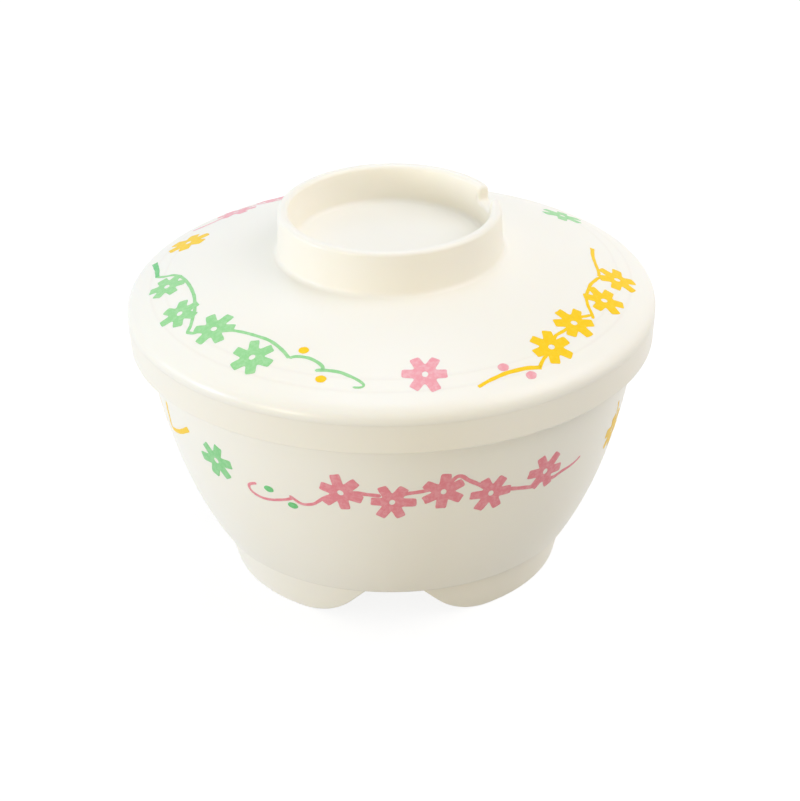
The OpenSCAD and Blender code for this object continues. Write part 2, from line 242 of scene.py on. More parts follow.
class Nodes:
    """A material's node tree, with short calls for the nodes used here."""

    def __init__(self, name):
        self.material = bpy.data.materials.new(name)
        self.material.use_nodes = True
        self.tree = self.material.node_tree
        self.shader = self.tree.nodes["Principled BSDF"]
        self.coords = self.tree.nodes.new("ShaderNodeTexCoord").outputs["Object"]

    def put(self, value, socket):
        """Links an output to the socket, or sets the socket's value."""
        if isinstance(value, bpy.types.NodeSocket):
            self.tree.links.new(value, socket)
        else:
            socket.default_value = value

    def noise(self, scale, detail=2.0, rough=0.5):
        n = self.tree.nodes.new("ShaderNodeTexNoise")
        n.inputs["Scale"].default_value = scale
        n.inputs["Detail"].default_value = detail
        n.inputs["Roughness"].default_value = rough
        self.put(self.coords, n.inputs["Vector"])
        return n.outputs["Fac"]

    def ramp(self, factor, *stops):
        """A colour that runs between two stops of position and colour."""
        n = self.tree.nodes.new("ShaderNodeValToRGB")
        for item, (position, colour) in zip(n.color_ramp.elements, stops):
            item.position, item.color = position, colour
        self.put(factor, n.inputs["Fac"])
        return n.outputs["Color"]

    def mix(self, factor, a, b):
        n = self.tree.nodes.new("ShaderNodeMix")
        n.data_type = "RGBA"
        for index, value in ((0, factor), (6, a), (7, b)):
            self.put(value, n.inputs[index])
        return n.outputs[2]

    def math(self, operation, a, b=0.0):
        n = self.tree.nodes.new("ShaderNodeMath")
        n.operation = operation
        self.put(a, n.inputs[0])
        self.put(b, n.inputs[1])
        return n.outputs[0]

    def scale_range(self, factor, low, high, out_low, out_high):
        n = self.tree.nodes.new("ShaderNodeMapRange")
        for key, value in zip(("From Min", "From Max", "To Min", "To Max"), (low, high, out_low, out_high)):
            n.inputs[key].default_value = value
        self.put(factor, n.inputs["Value"])
        return n.outputs["Result"]

    def height_and_radius(self):
        parts = self.tree.nodes.new("ShaderNodeSeparateXYZ")
        self.put(self.coords, parts.inputs[0])
        squares = [self.math("POWER", parts.outputs[k], 2.0) for k in (0, 1)]
        return parts.outputs[2], self.math("SQRT", self.math("ADD", *squares))

    def bump(self, height, depth, strength, under=None):
        n = self.tree.nodes.new("ShaderNodeBump")
        n.inputs["Strength"].default_value = strength
        n.inputs["Distance"].default_value = depth
        self.put(height, n.inputs["Height"])
        if under is not None:
            self.put(under, n.inputs["Normal"])
        return n.outputs["Normal"]

    def set(self, **values):
        for key, value in values.items():
            self.put(value, self.shader.inputs[key.replace("_", " ")])


CLOUD_SCALE, WIPE_SCALE, WAVE_SCALE, SKIN_SCALE = 22, 45, 60, 1300
WAVE_DEPTH, SKIN_DEPTH = 0.00005, 0.000003
# Painted shade in a joint, a darker colour in a narrow band: its height band and its inner fade are in
# millimetres
CREASE_SHADE, CREASE_SHADE_SHARE, CREASE_SHADE_HALF_W, CREASE_SHADE_FADE_W, CREASE_SHADE_INNER_FADE = srgb(160, 150, 122), 0.4, 0.3, 0.7, 0.5
# Moulded waves with painted shade along them: how far the shade and the bump reach to each side, in
# millimetres
RING_SHADE, RING_SHADE_SHARE, RING_SHADE_W, RING_BUMP_W, RING_DEPTH = srgb(234, 222, 206), 0.18, 0.6, 0.8, 0.00006


def ivory_plastic(name, pale, deep, gloss=0.29, dull=0.38, crease=None, rings=()):
    """Satin moulded plastic: faint clouds in the colour, wiped patches in the gloss, and a very fine skin.

    A crease is a height and a radius in millimetres under which, and outside which, the joint gets painted
    shade.
    Rings are radii of faint moulded waves, each with a bump and painted shade along it.
    """
    m = Nodes(name)
    colour = m.ramp(m.noise(CLOUD_SCALE, 1, 0.4), (0.2, pale), (0.8, deep))
    height, radius = m.height_and_radius()
    from_rings = [m.math("ABSOLUTE", m.math("SUBTRACT", radius, ring * MM)) for ring in rings]
    # Painted shade: a darker band of colour along each wave
    for off in from_rings:
        colour = m.mix(m.scale_range(off, 0.0, RING_SHADE_W * MM, RING_SHADE_SHARE, 0.0), colour, RING_SHADE)
    # Painted shade: the colour darkens in a narrow band at the crease's height, outside its radius
    if crease:
        joint_z, joint_r = crease
        off = m.math("ABSOLUTE", m.math("SUBTRACT", height, (joint_z - CREASE_SHADE_HALF_W) * MM))
        near = m.scale_range(off, CREASE_SHADE_HALF_W * MM, CREASE_SHADE_FADE_W * MM, CREASE_SHADE_SHARE, 0.0)
        outside = m.scale_range(radius, (joint_r - CREASE_SHADE_INNER_FADE) * MM, joint_r * MM, 0.0, 1.0)
        colour = m.mix(m.math("MULTIPLY", near, outside), colour, CREASE_SHADE)
    m.set(Base_Color=colour, Roughness=m.scale_range(m.noise(WIPE_SCALE), 0.3, 0.7, gloss, dull),
          Specular_IOR_Level=0.42, Coat_Weight=0.05, Coat_Roughness=0.2,
          Subsurface_Weight=0.12, Subsurface_Radius=(1.0, 0.72, 0.4), Subsurface_Scale=0.0025)
    normal = m.bump(m.noise(SKIN_SCALE), SKIN_DEPTH, 0.5)
    normal = m.bump(m.noise(WAVE_SCALE, 1, 0.4), WAVE_DEPTH, 0.3, under=normal)
    for off in from_rings:
        normal = m.bump(m.scale_range(off, 0.0, RING_BUMP_W * MM, 1.0, 0.0), RING_DEPTH, 1.0, under=normal)
    m.set(Normal=normal)
    return m.material


def ink(name, colour, edge):
    """Printed ink: a thin satin film with a lightly mottled cover."""
    m = Nodes(name)
    cover, broad, skin = m.noise(900, 3, 0.65), m.noise(240), m.noise(1500)
    tone = m.ramp(cover, (0.34, edge), (0.56, colour))
    tone = m.mix(m.scale_range(broad, 0.35, 0.7, 0.0, 0.22), tone, edge)
    m.set(Base_Color=tone, Roughness=m.scale_range(cover, 0.3, 0.7, 0.34, 0.44), Specular_IOR_Level=0.2,
          Normal=m.bump(skin, 0.000006, 0.5))
    return m.material


def foam_material():
    """Rigid foam with fine closed cells."""
    m = Nodes("foam")
    cells = m.tree.nodes.new("ShaderNodeTexVoronoi")
    cells.inputs["Scale"].default_value = 1400
    m.put(m.coords, cells.inputs["Vector"])
    depth = cells.outputs["Distance"]
    colour = m.ramp(depth, (0.1, srgb(226, 205, 150)), (0.6, srgb(246, 232, 196)))
    m.set(Base_Color=colour, Roughness=m.scale_range(depth, 0, 0.6, 0.95, 0.8),
          Normal=m.bump(depth, 0.0003, 0.8))
    return m.material


def plug_material():
    """Ivory plastic with the fine turned rings of its mould."""
    m = Nodes("plug_ivory")
    turning = m.math("SINE", m.math("MULTIPLY", m.height_and_radius()[1], 9000.0))
    colour = m.ramp(m.noise(160, 3), (0.3, srgb(249, 243, 228)), (0.7, srgb(241, 233, 213)))
    m.set(Base_Color=colour, Roughness=m.scale_range(m.noise(300), 0.3, 0.7, 0.3, 0.45),
          Specular_IOR_Level=0.45, Normal=m.bump(turning, 0.00001, 0.5))
    return m.material


# The shell's crease where the feet meet the bowl's edge gets painted shade
SHELL = ivory_plastic("shell_ivory", srgb(250, 245, 230), srgb(248, 242, 225), crease=(BASE_Z, 46.2))
# The cover's moulded waves carry painted shade as well as their bump
COVER = ivory_plastic("cover_ivory", srgb(250, 245, 230), srgb(248, 242, 225), rings=(60.0, 63.7))
LINER = ivory_plastic("liner_ivory", srgb(249, 243, 227), srgb(246, 239, 220), 0.285, 0.35)
PINK = ink("ink_pink", srgb(243, 160, 166), srgb(246, 184, 187))
ROSE = ink("ink_rose", srgb(234, 138, 146), srgb(240, 164, 169))
YELLOW = ink("ink_yellow", srgb(254, 206, 0), srgb(253, 212, 36))
GREEN = ink("ink_green", srgb(150, 214, 142), srgb(172, 222, 160))
BOWL_GREEN = ink("ink_bowl_green", srgb(136, 209, 137), srgb(158, 217, 154))
LEAF = ink("ink_leaf_green", srgb(108, 200, 122), srgb(136, 209, 142))
FOAM = foam_material()
PLUG = plug_material()

# The model's own cores and plugs stay, with these materials
for node, material in (("bowl_foam_core", FOAM), ("lid_foam_core", FOAM), ("bowl_base_plug", PLUG),
                       ("lid_plug", PLUG)):
    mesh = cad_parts[node].data
    mesh.materials.clear()
    mesh.materials.append(material)

# Bowl wall with its floor, its boss and the tongue under the lip

wall = bezier(WALL_CURVE, 90)
wall_inside = beside(wall, -SHELL_T)
wall_inside = wall_inside[(wall_inside[:, 1] > BASE_TOP_Z + LEVEL_STEP)
                          & (wall_inside[:, 1] < LIP_Z - INNER_STEP)]
wall_end_z = LIP_Z - WELD_GAP
shell_outline = chain(
    (WALL_TOP_R, LIP_Z), (WALL_TOP_R, LIP_Z - SAME_POINT), wall[1:-1],
    arc((WALL_LOW_R - BASE_ROUND_IN, BASE_Z + BASE_ROUND), BASE_ROUND, -32, -90, 4),
    line((WALL_LOW_R - EDGE_STEP, BASE_Z), (PLUG_R + PLUG_BEVEL, BASE_Z), 12),
    filling_hole(BASE_Z, BOSS_TOP_Z, BASE_TOP_Z),
    line((BOSS_R + LEVEL_STEP, BASE_TOP_Z), (wall_inside[-1][0] - SHELL_T, BASE_TOP_Z), 10),
    wall_inside[::-1],
    (wall_inside[0][0], wall_end_z), (TONGUE_IN_R, wall_end_z), (TONGUE_IN_R, TONGUE_TOP_Z),
    (TONGUE_OUT_R, TONGUE_TOP_Z), (TONGUE_OUT_R, wall_end_z), (WALL_TOP_R - WALL_END_STEP, wall_end_z))
lathe("bowl_wall", shell_outline, "bowl", SHELL, "bowl_outer_shell", 360)

# Bowl liner with the lip

liner_low_z = FLOOR_Z - LINER_T
inside = bezier(LINER_CURVE, 60)
outside = beside(inside, LINER_T)
outside[-1] = (FLOOR_R, liner_low_z)
groove_in_r, groove_out_r = TONGUE_IN_R - WELD_GAP, TONGUE_OUT_R + WELD_GAP
groove_top_z = TONGUE_TOP_Z + WELD_GAP
liner_outline = chain(
    (0, FLOOR_Z), line((LINER_HUB_R, FLOOR_Z), (FLOOR_R, FLOOR_Z), 12), inside[::-1],
    line((INNER_R, INNER_LOW_Z), (INNER_R, RIM_Z - RIM_ROUND), 4),
    arc((INNER_R + RIM_ROUND, RIM_Z - RIM_ROUND), RIM_ROUND, 180, 90),
    line((INNER_R + RIM_ROUND, RIM_Z), (LIP_R - RIM_ROUND, RIM_Z), 4),
    arc((LIP_R - RIM_ROUND, RIM_Z - RIM_ROUND), RIM_ROUND, 90, 0),
    line((LIP_R, RIM_Z - RIM_ROUND), (LIP_R, LIP_Z + LIP_ROUND), 3),
    arc((LIP_R - LIP_ROUND, LIP_Z + LIP_ROUND), LIP_ROUND, 0, -90, 4),
    (groove_out_r, LIP_Z), (groove_out_r, groove_top_z), (groove_in_r, groove_top_z), (groove_in_r, LIP_Z),
    (INNER_R + LINER_T, LIP_Z), outside,
    line((FLOOR_R, liner_low_z), (LINER_HUB_R, liner_low_z), 8), (0, liner_low_z))
lathe("bowl_inside", liner_outline, "bowl", LINER, "bowl_inner_liner", 300)


# Feet: three arcs of the foot ring, each between two arches, with its top hidden in the bowl's floor

def foot_columns():
    """Half a foot's lower outline: x, z, its lean, how near the toe it is, and how square the cut is."""
    toe_rise = TOE_R * (1 - math.cos(ARCH_SLOPE))
    knee_x = ARCH_HALF_W + (BASE_Z - toe_rise) / math.tan(ARCH_SLOPE)
    toe_x = knee_x + TOE_R * math.sin(ARCH_SLOPE)
    out = []
    for z in np.linspace(ARCH_TOP_Z, toe_rise, 17)[:-1]:
        out.append((ARCH_HALF_W + (BASE_Z - z) / math.tan(ARCH_SLOPE), z, ARCH_SLOPE, 0.0, 1.0))
    for a in np.linspace(ARCH_SLOPE, 0, 25):
        share = smooth(1 - a / ARCH_SLOPE) ** 2
        out.append((toe_x - TOE_R * math.sin(a), TOE_R * (1 - math.cos(a)), a, float(share), 1.0))
    start, middle = math.asin(toe_x / FOOT_MIDDLE_R), math.pi / FOOT_COUNT
    for t in np.linspace(start, middle, 14)[1:]:
        fade = 1 - float(smooth((t - start) / (middle - start)))
        out.append((FOOT_MIDDLE_R * math.sin(t), 0.0, 0.0, 1.0, fade))
    return out


def foot_section(x, z, lean, share, square):
    """Points of one cross-section, as angle from the arch, radius and height."""
    nx, nz = math.sin(lean), math.cos(lean)
    reach = (FOOT_ROOT_Z - z) / nz
    outer_round, inner_round = (min(at_arch + growth * share, 0.8 * reach)
                                for at_arch, growth in (FOOT_OUTER_ROUND, FOOT_INNER_ROUND))
    out_r = FOOT_LOW_R + FOOT_OUTER_SLOPE * z
    in_r = FOOT_INNER_LOW_R + FOOT_INNER_SLOPE * z
    slope_o, slope_i = FOOT_OUTER_SLOPE * nz, FOOT_INNER_SLOPE * nz
    centre_o = out_r + slope_o * outer_round - outer_round * math.hypot(1, slope_o)
    centre_i = in_r + slope_i * inner_round + inner_round * math.hypot(1, slope_i)
    arc_o = arc((centre_o, outer_round), outer_round, -math.degrees(math.atan(slope_o)), -90, 9)
    arc_i = arc((centre_i, inner_round), inner_round, 270, 180 - math.degrees(math.atan(slope_i)), 7)
    wall_o = line((out_r + slope_o * reach, reach), arc_o[0], 7)[:-1]
    wall_i = line(arc_i[-1], (in_r + slope_i * reach, reach), 7)[1:]
    under = line(arc_o[-1], arc_i[0], 3)[1:-1]
    root = line(wall_i[-1], wall_o[0], 3)[1:-1]
    out = []
    for r, v in np.vstack([wall_o, arc_o, under, arc_i, wall_i, root]):
        px, pz = x + nx * v, z + nz * v
        even, cut = (math.asin(min(px / by, 1)) for by in (FOOT_MIDDLE_R, r))
        out.append(((1 - square) * even + square * cut, r, pz))
    return out


def foot(name, middle):
    half = [foot_section(*c) for c in foot_columns()]
    step = math.pi / FOOT_COUNT
    sections = [[(middle - step + a, r, z) for a, r, z in s] for s in half]
    sections += [[(middle + step - a, r, z) for a, r, z in s] for s in half[-2::-1]]
    count, size = len(sections), len(sections[0])
    points = [(r * math.sin(a), -r * math.cos(a), z) for s in sections for a, r, z in s]
    faces = [tuple(range(size)), tuple((count - 1) * size + k for k in reversed(range(size)))]
    for i in range(count - 1):
        for k in range(size):
            m = (k + 1) % size
            faces.append((i * size + k, (i + 1) * size + k, (i + 1) * size + m, i * size + m))
    add_mesh(name, points, faces, "bowl", SHELL)


for name, middle in (("foot_right", 60), ("foot_back", 180), ("foot_left", 300)):
    foot(name, math.radians(middle))


# Lid top with its grip ring. Round the ring the columns follow the notch.

def notch_columns():
    """Half the ring's upper edge from the notch's middle.

    Each is x, z, the direction into the ring, its edges' rounding, x at the base, and how square the cut is.
    """
    flat, edge_x = NOTCH_HALF_W - NOTCH_ROUND, NOTCH_HALF_W + NOTCH_ROUND
    low_z, high_z = NOTCH_Z + NOTCH_ROUND, RING_TOP_Z - NOTCH_ROUND
    edge = [(x, NOTCH_Z, 0.0, -1.0) for x in np.linspace(0, flat, 9)]
    for a in np.radians(np.linspace(-90, 0, 11))[1:]:
        c, s = math.cos(a), math.sin(a)
        edge.append((flat + NOTCH_ROUND * c, low_z + NOTCH_ROUND * s, c, s))
    edge += [(NOTCH_HALF_W, z, 1.0, 0.0) for z in np.linspace(low_z, high_z, 7)[1:]]
    for a in np.radians(np.linspace(180, 90, 11))[1:]:
        c, s = math.cos(a), math.sin(a)
        edge.append((edge_x + NOTCH_ROUND * c, high_z + NOTCH_ROUND * s, -c, -s))
    edge += [(x, RING_TOP_Z, 0.0, -1.0) for x in np.linspace(edge_x, NOTCH_END_X, 14)[1:]]
    way = lengths(np.array(edge)[:, :2])
    out = []
    for (x, z, nx, nz), base_x in zip(edge, way * NOTCH_END_X / way[-1]):
        in_notch = float(smooth((RING_TOP_Z - z) / NOTCH_BLEND_H))
        rounding = NOTCH_EDGE_ROUND * in_notch + RING_EDGE_ROUND * (1 - in_notch)
        square = 1 - float(smooth((x - edge_x) / (NOTCH_END_X - edge_x)))
        out.append((x, z, nx, nz, rounding, base_x, square))
    return out


def ring_in(z):
    return RING_INNER_LOW_R + RING_INNER_SLOPE * (z - RING_INNER_LOW_Z)


def ring_out(z):
    return RING_BASE_R + RING_OUTER_SLOPE * (z - RING_BASE_Z)


def ring_section(x, z, nx, nz, rounding, base_x, square):
    """The ring's section over one column, from inner to outer base row: angle, radius and height."""
    slope_i, slope_o = RING_INNER_SLOPE * nz, RING_OUTER_SLOPE * nz
    centre_i = ring_in(z) + slope_i * rounding + rounding * math.hypot(1, slope_i)
    centre_o = ring_out(z) + slope_o * rounding - rounding * math.hypot(1, slope_o)
    arc_i = arc((centre_i, rounding), rounding, 180 - math.degrees(math.atan(slope_i)), 270)
    arc_o = arc((centre_o, rounding), rounding, 270, 360 - math.degrees(math.atan(slope_o)))
    over = line(arc_i[-1], arc_o[0], 3)[1:-1]
    rim = [(x + nx * v, z + nz * v, r, square) for r, v in np.vstack([arc_i, over, arc_o])]

    def side(top, radius_at):
        """The rows from the ring's base up to one end of the rim."""
        rows = []
        for t in np.arange(12) / 12:
            px, pz = base_x + (top[0] - base_x) * t, NOTCH_BASE_Z + (top[1] - NOTCH_BASE_Z) * t
            rows.append((px, pz, radius_at(pz), square * t))
        return rows

    out = []
    for px, pz, r, w in side(rim[0], ring_in) + rim + side(rim[-1], ring_out)[::-1]:
        out.append(((1 - w) * math.asin(px / NOTCH_MIDDLE_R) + w * math.asin(px / r), r, pz))
    return out


def ring_columns():
    """The angle and the section of each column all round, from the notch's middle."""
    full, end = 2 * math.pi, math.asin(NOTCH_END_X / NOTCH_MIDDLE_R)
    notch = [(math.asin(c[5] / NOTCH_MIDDLE_R), ring_section(*c)) for c in notch_columns()]
    plain = [(a, [(a, r, z) for _, r, z in notch[-1][1]]) for a in np.linspace(end, full - end, 270)[1:-1]]
    mirrored = [(full - a, [(full - b, r, z) for b, r, z in section]) for a, section in notch[:0:-1]]
    return notch + plain + mirrored


shoulder = bezier(SHOULDER_CURVE, 26)
dome = bezier(DOME_CURVE, 90)
lid_path = chain(shoulder, dome)
cover_low_z = RING_FLOOR_Z - COVER_T
lean = math.radians(DOME_LEAN)
touch_r = RING_BASE_R + RING_FILLET - RING_FILLET * math.sin(lean)
touch = np.array([touch_r, RING_BASE_Z - (touch_r - RING_BASE_R) * math.tan(lean)])
fillet_centre = touch + RING_FILLET * np.array([math.sin(lean), math.cos(lean)])
inner_lean = math.degrees(math.atan(RING_INNER_SLOPE))
floor_r = RING_INNER_LOW_R - RING_FILLET
floor_rows = chain(
    line((LID_HUB_R, RING_FLOOR_Z), (floor_r, RING_FLOOR_Z), 14),
    arc((floor_r + FILLET_STEP, RING_FLOOR_Z + RING_FILLET), RING_FILLET, -90, -inner_lean, 10))
outer_rows = chain(
    [(ring_out(z), z) for z in RING_LOW_ROWS],
    arc(fillet_centre, RING_FILLET, -180 + RING_OUTER_LEAN, -90 - DOME_LEAN, 10),
    dome[dome[:, 0] > touch_r + CURVE_STEP][::-1], shoulder[::-1][1:], (LID_R, SEAM_Z + CURVE_STEP),
    [(LID_R - inward, SEAM_Z + rise) for inward, rise in SEAM_STEPS],
    line((LID_R - EDGE_STEP, SEAM_Z), (LID_R - COVER_T, SEAM_Z), 2))
under_path = beside(lid_path, COVER_T)
under_path = under_path[(under_path[:, 0] > RING_INNER_LOW_R + COVER_T)
                        & (under_path[:, 1] > SEAM_Z + CORNER_STEP)]
under_rows = chain(under_path, line((RING_INNER_LOW_R, cover_low_z), (LID_HUB_R, cover_low_z), 10))

columns = ring_columns()
angles = np.array([a for a, _ in columns]) + NOTCH_ANGLE
sections = np.array([section for _, section in columns])
grid = [turned(row, angles) for row in floor_rows]
grid += [turned(sections[:, k, 1:], sections[:, k, 0] + NOTCH_ANGLE) for k in range(sections.shape[1])]
grid += [turned(row, angles) for row in np.vstack([outer_rows, under_rows])]
add_grid("lid_top", np.array(grid), (RING_FLOOR_Z, cover_low_z), "lid", COVER, "lid_cover")

# Lid underside with the skirt

ceiling = bezier(CEILING_CURVE, 50)
above = beside(ceiling, -LID_LINER_T)
above[0] = (CENTRING_R + LID_LINER_T, FLANGE_Z)
above = above[above[:, 1] >= FLANGE_Z - SAME_POINT]
skirt_in_r, skirt_round_z = SKIRT_R - SKIRT_T, SKIRT_LOW_Z + SKIRT_ROUND
centring_round_z = CENTRING_Z + CENTRING_ROUND
seam_low = [(LID_R - inward, SEAM_Z - drop) for inward, drop in SEAM_STEPS]
skirt_top = [(LID_R - inward, SEAM_Z - drop) for inward, drop in SKIRT_STEPS]
under_outline = chain(
    seam_low[0], skirt_top[0], line(skirt_top[1], (SKIRT_R, skirt_round_z), 10),
    arc((SKIRT_R - SKIRT_ROUND, skirt_round_z), SKIRT_ROUND, 0, -90),
    arc((skirt_in_r + SKIRT_ROUND, skirt_round_z), SKIRT_ROUND, -90, -180),
    line((skirt_in_r, skirt_round_z), (LID_R - SKIRT_T, RIM_Z), 6),
    line((LID_R - SKIRT_T - INNER_STEP, RIM_Z), (CENTRING_R, RIM_Z), 5),
    line((CENTRING_R, RIM_Z - CORNER_STEP), (CENTRING_R, centring_round_z), 3),
    arc((CENTRING_R - CENTRING_ROUND, centring_round_z), CENTRING_ROUND, 0, -90),
    arc((CENTRING_INNER_R + CENTRING_ROUND, centring_round_z), CENTRING_ROUND, -90, -180),
    line((CENTRING_INNER_R, centring_round_z), (CENTRING_INNER_R, FLANGE_Z - CORNER_STEP), 4),
    ceiling[1:], line((CEILING_FLAT_R - FLAT_STEP, CEILING_Z), (PLUG_R + PLUG_BEVEL, CEILING_Z), 2),
    filling_hole(CEILING_Z, LID_BOSS_TOP_Z, CEILING_Z + LID_LINER_T),
    above[::-1], (LID_TONGUE_IN_R, FLANGE_Z), (LID_TONGUE_IN_R, LID_TONGUE_TOP_Z),
    (LID_TONGUE_OUT_R, LID_TONGUE_TOP_Z), (LID_TONGUE_OUT_R, SEAM_Z), seam_low[:0:-1])
lathe("lid_underside", under_outline, "lid", LINER, "lid_liner", 360)

# Print. Each place is an angle from the front and a radius on the lid or a height on the bowl.

random = np.random.default_rng(7)
# How far flowers and dots stand proud of the surface, how far lines do, and how deep both reach into it
INK_LIFT, LINE_LIFT, INK_ROOT = 0.035, 0.029, 0.06
LINE_STEP, HOLE_GAP = 0.35, 0.35
# How petals vary: their direction in degrees, their length and width as shares
TURN_SPREAD, LENGTH_SPREAD, WIDTH_SPREAD = 1.5, 0.025, 0.04
# Powers that round a petal's corners, and the valleys between petals
CORNER_POWER, VALLEY_POWER = 12.0, 14


def wobble(t, *waves):
    """Factors around 1, from waves of a number and a size, each with a random start."""
    return 1 + sum(size * np.sin(number * t + random.uniform(0, 6)) for number, size in waves)


def spline(points):
    """A smooth curve through the points."""
    p = np.vstack([2 * points[0] - points[1], points, 2 * points[-1] - points[-2]])
    out = []
    for i in range(1, len(p) - 2):
        for t in np.linspace(0, 1, 10, endpoint=False):
            out.append(0.5 * (2 * p[i] + (p[i + 1] - p[i - 1]) * t
                              + (2 * p[i - 1] - 5 * p[i] + 4 * p[i + 1] - p[i + 2]) * t ** 2
                              + (3 * p[i] - p[i - 1] - 3 * p[i + 1] + p[i + 2]) * t ** 3))
    out.append(points[-1])
    return np.array(out)


class Surface:
    """A turned surface that carries the print: its outline, and lengths along it."""

    def __init__(self, path, by_radius):
        self.path, self.way = path, lengths(path)
        self.key, self.sign = (-path[:, 0], -1) if by_radius else (path[:, 1], 1)
        tangent = np.gradient(path, self.way, axis=0)
        tangent /= np.linalg.norm(tangent, axis=1)[:, None]
        self.normal = np.column_stack([tangent[:, 1], -tangent[:, 0]])

    def way_at(self, value):
        return np.interp(self.sign * value, self.key, self.way)

    def radius_at(self, way):
        return np.interp(way, self.way, self.path[:, 0])

    def point(self, angle, way, lift):
        r, z = (np.interp(way, self.way, self.path[:, k]) + lift * np.interp(way, self.way, self.normal[:, k])
                for k in (0, 1))
        return turned(np.stack([r, z], axis=-1), angle + VIEW_TURN)


LID_SURFACE = Surface(lid_path, True)
BOWL_SURFACE = Surface(wall[::-1], False)


class Print:
    """All the marks of one ink on one body, gathered into one mesh."""

    def __init__(self, name, surface, body, material):
        self.name, self.surface, self.body, self.material = name, surface, body, material
        self.points, self.faces, self.middles = [], [], []

    def sheet(self, angle, way, ring, top=INK_LIFT):
        """A thin closed sheet from a grid of places. A ring closes round its columns."""
        rows, cols = angle.shape
        first, size = len(self.points), rows * cols
        for lift in (top, -INK_ROOT):
            self.points += list(self.surface.point(angle, way, lift).reshape(-1, 3))

        def at(i, j, side):
            return first + side * size + i * cols + j % cols

        last = cols if ring else cols - 1
        for i in range(rows - 1):
            for j in range(last):
                self.faces.append((at(i, j, 0), at(i, j + 1, 0), at(i + 1, j + 1, 0), at(i + 1, j, 0)))
                self.faces.append((at(i, j, 1), at(i + 1, j, 1), at(i + 1, j + 1, 1), at(i, j + 1, 1)))
        for i, turn_over in ((0, True), (rows - 1, False)):
            for j in range(last):
                f = (at(i, j, 0), at(i, j + 1, 0), at(i, j + 1, 1), at(i, j, 1))
                self.faces.append(f[::-1] if turn_over else f)
        if not ring:
            for j, turn_over in ((0, False), (cols - 1, True)):
                for i in range(rows - 1):
                    f = (at(i, j, 0), at(i + 1, j, 0), at(i + 1, j, 1), at(i, j, 1))
                    self.faces.append(f[::-1] if turn_over else f)

    def place(self, a, b, angle0, way0):
        """Local millimetres, across and up, to angle and length along the surface."""
        way = way0 + b
        return angle0 + a / self.surface.radius_at(way), way

    def flower(self, angle, value, turn, reach=5.75, half_width=1.42, valley=3.25, hole=0.85):
        """Six blunt straight petals with filled valleys between them, round a small hole."""
        t = np.linspace(0, 2 * math.pi, 120, endpoint=False)
        outline = np.zeros(len(t))
        for k in range(6):
            axis = math.radians(turn + 60 * k + random.normal(0, TURN_SPREAD))
            length = reach * (1 + random.normal(0, LENGTH_SPREAD))
            width = half_width * (1 + random.normal(0, WIDTH_SPREAD))
            off = (t - axis + math.pi) % (2 * math.pi) - math.pi
            end = length / np.maximum(np.cos(off), 0.02)
            side = width / np.maximum(np.abs(np.sin(off)), 0.02)
            petal = (end ** -CORNER_POWER + side ** -CORNER_POWER) ** (-1 / CORNER_POWER)
            outline = np.maximum(outline, np.where(np.abs(off) < math.radians(89), petal, 0))
        outline = (outline ** VALLEY_POWER + valley ** VALLEY_POWER) ** (1 / VALLEY_POWER)
        outline *= wobble(t, (3, 0.012), (11, 0.01))
        inner = hole * wobble(t, (2, 0.08))
        radius = inner + (outline - inner) * np.linspace(0, 1, 6)[:, None]
        centre = math.radians(angle), float(self.surface.way_at(value))
        self.middles.append((*centre, hole))
        self.sheet(*self.place(radius * np.cos(t), radius * np.sin(t), *centre), True)

    def dot(self, angle, value, wide, high):
        t = np.linspace(0, 2 * math.pi, 40, endpoint=False)
        radius = np.linspace(0.01, 1, 5)[:, None] * wobble(t, (2, 0.03), (5, 0.02))
        a, b = wide / 2 * radius * np.cos(t), high / 2 * radius * np.sin(t)
        self.sheet(*self.place(a, b, math.radians(angle), self.surface.way_at(value)), True)

    def stroke(self, places, width, ends=(1.0, 1.0), blunt=False):
        """A drawn line that leaves the flowers' holes clear. Ends are its width there, as shares of width."""
        p = np.array(places, float)
        way = self.surface.way_at(p[:, 1])
        radius = float(self.surface.radius_at(way).mean())
        flat = spline(np.column_stack([np.radians(p[:, 0]) * radius, way]))
        length = lengths(flat)
        count = max(8, int(length[-1] / LINE_STEP))
        t = np.linspace(0, length[-1], count)
        line_x, line_y = np.interp(t, length, flat[:, 0]), np.interp(t, length, flat[:, 1])
        direction = np.column_stack([np.gradient(line_x), np.gradient(line_y)])
        direction /= np.linalg.norm(direction, axis=1)[:, None]
        swell = np.interp(t / length[-1], [0, 0.5, 1], [ends[0], 1, ends[1]])
        half = width / 2 * swell * wobble(t, (1.7, 0.05))
        if not blunt:
            for from_end in (t, length[-1] - t):
                cap = np.clip(from_end / (width / 2), 0, 1)
                half *= np.sqrt(np.maximum(1 - (1 - cap) ** 2, 0.03))
        clear = np.ones(count, bool)
        for angle0, way0, hole in self.middles:
            across = (line_x / radius - angle0) * self.surface.radius_at(way0)
            clear &= np.hypot(across, line_y - way0) > hole + width / 2 + HOLE_GAP
        offsets = np.linspace(-1, 1, 5)[:, None] * half
        a = (line_x - offsets * direction[:, 1]) / radius
        b = line_y + offsets * direction[:, 0]
        breaks = np.flatnonzero(np.diff(clear.astype(int))) + 1
        for part in np.split(np.arange(count), breaks):
            if clear[part[0]] and len(part) > 2:
                self.sheet(a[:, part], b[:, part], False, LINE_LIFT)

    def make(self):
        add_mesh(self.name, self.points, self.faces, self.body, self.material)


lid_green = Print("print_lid_green", LID_SURFACE, "lid", GREEN)
lid_yellow = Print("print_lid_yellow", LID_SURFACE, "lid", YELLOW)
lid_pink = Print("print_lid_pink", LID_SURFACE, "lid", PINK)
lid_leaf = Print("print_lid_leaf", LID_SURFACE, "lid", LEAF)
bowl_rose = Print("print_bowl_rose", BOWL_SURFACE, "bowl", ROSE)
bowl_green = Print("print_bowl_green", BOWL_SURFACE, "bowl", BOWL_GREEN)
bowl_leaf = Print("print_bowl_leaf", BOWL_SURFACE, "bowl", LEAF)
bowl_yellow = Print("print_bowl_yellow", BOWL_SURFACE, "bowl", YELLOW)

